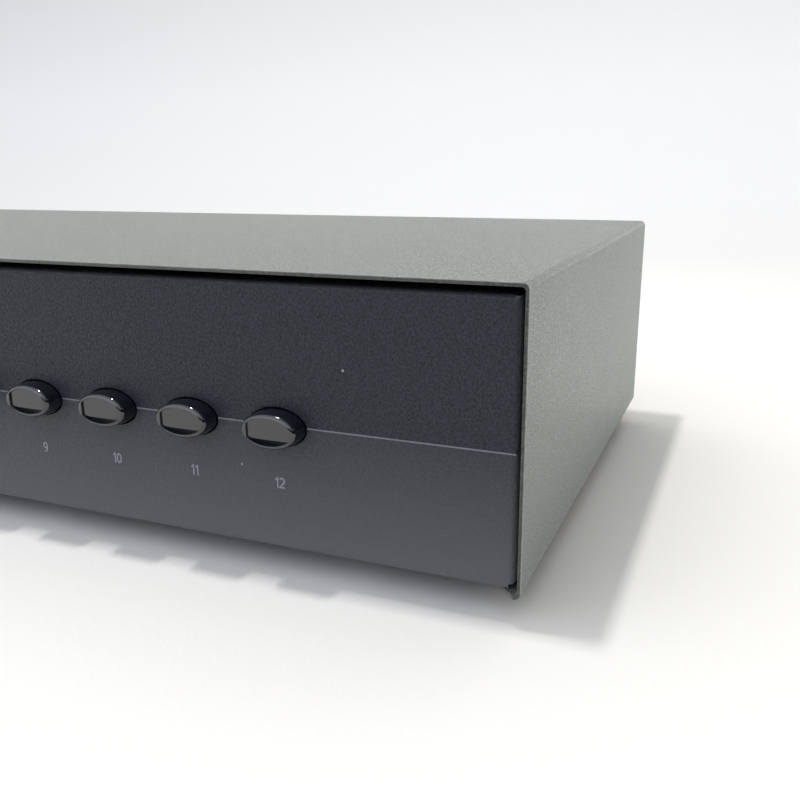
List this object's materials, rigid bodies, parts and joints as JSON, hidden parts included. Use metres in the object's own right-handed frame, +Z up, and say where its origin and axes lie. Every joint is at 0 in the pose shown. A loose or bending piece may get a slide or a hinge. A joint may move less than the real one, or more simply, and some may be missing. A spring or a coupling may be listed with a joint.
{
  "type": "speaker selector switch",
  "caption": "Low steel case with a row of latching push buttons in front and screw terminals for pairs of loudspeakers at the back.",
  "frame": {"origin": "centre of the footprint, on the surface that the feet stand on", "axes": "+X to the right seen from the front, +Y from the front panel to the back, +Z up"},
  "size_m": [0.43, 0.1984, 0.0845],
  "materials": {
    "charcoal_paint": "fine textured powder coat, charcoal",
    "black_rubber": "moulded rubber",
    "zinc_steel": "bright zinc plate",
    "black_steel": "black passivated",
    "black_plastic": "moulded, matte",
    "spring_steel": "bright wire",
    "tinned_brass": "tin plate",
    "board_laminate": "phenolic board, tan",
    "nickel_brass": "nickel plated",
    "ribbon_insulation": "grey insulation",
    "gloss_black_plastic": "polished moulding",
    "white_plastic": "natural moulding"
  },
  "bodies": {
    "case": {"board_screws": "zinc_steel", "board_standoffs": "nickel_brass", "chassis": "charcoal_paint", "cover_screws": "black_steel", "foot_screws": "zinc_steel", "latch_wires": "spring_steel", "rail_screws": "zinc_steel", "rear_panel": "charcoal_paint", "rear_panel_screws": "black_steel", "return_spring_01": "spring_steel", "return_spring_02": "spring_steel", "return_spring_03": "spring_steel", "return_spring_04": "spring_steel", "return_spring_05": "spring_steel", "return_spring_06": "spring_steel", "return_spring_07": "spring_steel", "return_spring_08": "spring_steel", "return_spring_09": "spring_steel", "return_spring_10": "spring_steel", "return_spring_11": "spring_steel", "return_spring_12": "spring_steel", "rubber_feet": "black_rubber", "standoff_screws": "zinc_steel", "strip_nuts": "zinc_steel", "strip_screws": "zinc_steel", "switch_board": "board_laminate", "switch_housings": "black_plastic", "switch_pins": "tinned_brass", "switch_rail": "zinc_steel", "terminal_board": "board_laminate", "terminal_clamps": "nickel_brass", "terminal_screws": "nickel_brass", "terminal_strips": "black_plastic", "terminal_tags": "tinned_brass", "top_cover": "charcoal_paint", "wire_ribbons": "ribbon_insulation"},
    "button_01": {"button_cap_01": "gloss_black_plastic", "switch_plunger_01": "white_plastic"},
    "button_02": {"button_cap_02": "gloss_black_plastic", "switch_plunger_02": "white_plastic"},
    "button_03": {"button_cap_03": "gloss_black_plastic", "switch_plunger_03": "white_plastic"},
    "button_04": {"button_cap_04": "gloss_black_plastic", "switch_plunger_04": "white_plastic"},
    "button_05": {"button_cap_05": "gloss_black_plastic", "switch_plunger_05": "white_plastic"},
    "button_06": {"button_cap_06": "gloss_black_plastic", "switch_plunger_06": "white_plastic"},
    "button_07": {"button_cap_07": "gloss_black_plastic", "switch_plunger_07": "white_plastic"},
    "button_08": {"button_cap_08": "gloss_black_plastic", "switch_plunger_08": "white_plastic"},
    "button_09": {"button_cap_09": "gloss_black_plastic", "switch_plunger_09": "white_plastic"},
    "button_10": {"button_cap_10": "gloss_black_plastic", "switch_plunger_10": "white_plastic"},
    "button_11": {"button_cap_11": "gloss_black_plastic", "switch_plunger_11": "white_plastic"},
    "button_12": {"button_cap_12": "gloss_black_plastic", "switch_plunger_12": "white_plastic"}
  },
  "joints": [
    {"name": "button_01_press", "type": "slide", "parent": "case", "child": "button_01", "axis": [0, 1, 0], "range_m": [0, 0.0035], "stiffness_N_per_m": 400, "springref_m": -0.003, "deforming": ["return_spring_01"]},
    {"name": "button_02_press", "type": "slide", "parent": "case", "child": "button_02", "axis": [0, 1, 0], "range_m": [0, 0.0035], "stiffness_N_per_m": 400, "springref_m": -0.003, "deforming": ["return_spring_02"]},
    {"name": "button_03_press", "type": "slide", "parent": "case", "child": "button_03", "axis": [0, 1, 0], "range_m": [0, 0.0035], "stiffness_N_per_m": 400, "springref_m": -0.003, "deforming": ["return_spring_03"]},
    {"name": "button_04_press", "type": "slide", "parent": "case", "child": "button_04", "axis": [0, 1, 0], "range_m": [0, 0.0035], "stiffness_N_per_m": 400, "springref_m": -0.003, "deforming": ["return_spring_04"]},
    {"name": "button_05_press", "type": "slide", "parent": "case", "child": "button_05", "axis": [0, 1, 0], "range_m": [0, 0.0035], "stiffness_N_per_m": 400, "springref_m": -0.003, "deforming": ["return_spring_05"]},
    {"name": "button_06_press", "type": "slide", "parent": "case", "child": "button_06", "axis": [0, 1, 0], "range_m": [0, 0.0035], "stiffness_N_per_m": 400, "springref_m": -0.003, "deforming": ["return_spring_06"]},
    {"name": "button_07_press", "type": "slide", "parent": "case", "child": "button_07", "axis": [0, 1, 0], "range_m": [0, 0.0035], "stiffness_N_per_m": 400, "springref_m": -0.003, "deforming": ["return_spring_07"]},
    {"name": "button_08_press", "type": "slide", "parent": "case", "child": "button_08", "axis": [0, 1, 0], "range_m": [0, 0.0035], "stiffness_N_per_m": 400, "springref_m": -0.003, "deforming": ["return_spring_08"]},
    {"name": "button_09_press", "type": "slide", "parent": "case", "child": "button_09", "axis": [0, 1, 0], "range_m": [0, 0.0035], "stiffness_N_per_m": 400, "springref_m": -0.003, "deforming": ["return_spring_09"]},
    {"name": "button_10_press", "type": "slide", "parent": "case", "child": "button_10", "axis": [0, 1, 0], "range_m": [0, 0.0035], "stiffness_N_per_m": 400, "springref_m": -0.003, "deforming": ["return_spring_10"]},
    {"name": "button_11_press", "type": "slide", "parent": "case", "child": "button_11", "axis": [0, 1, 0], "range_m": [0, 0.0035], "stiffness_N_per_m": 400, "springref_m": -0.003, "deforming": ["return_spring_11"]},
    {"name": "button_12_press", "type": "slide", "parent": "case", "child": "button_12", "axis": [0, 1, 0], "range_m": [0, 0.0035], "stiffness_N_per_m": 400, "springref_m": -0.003, "deforming": ["return_spring_12"]}
  ]
}
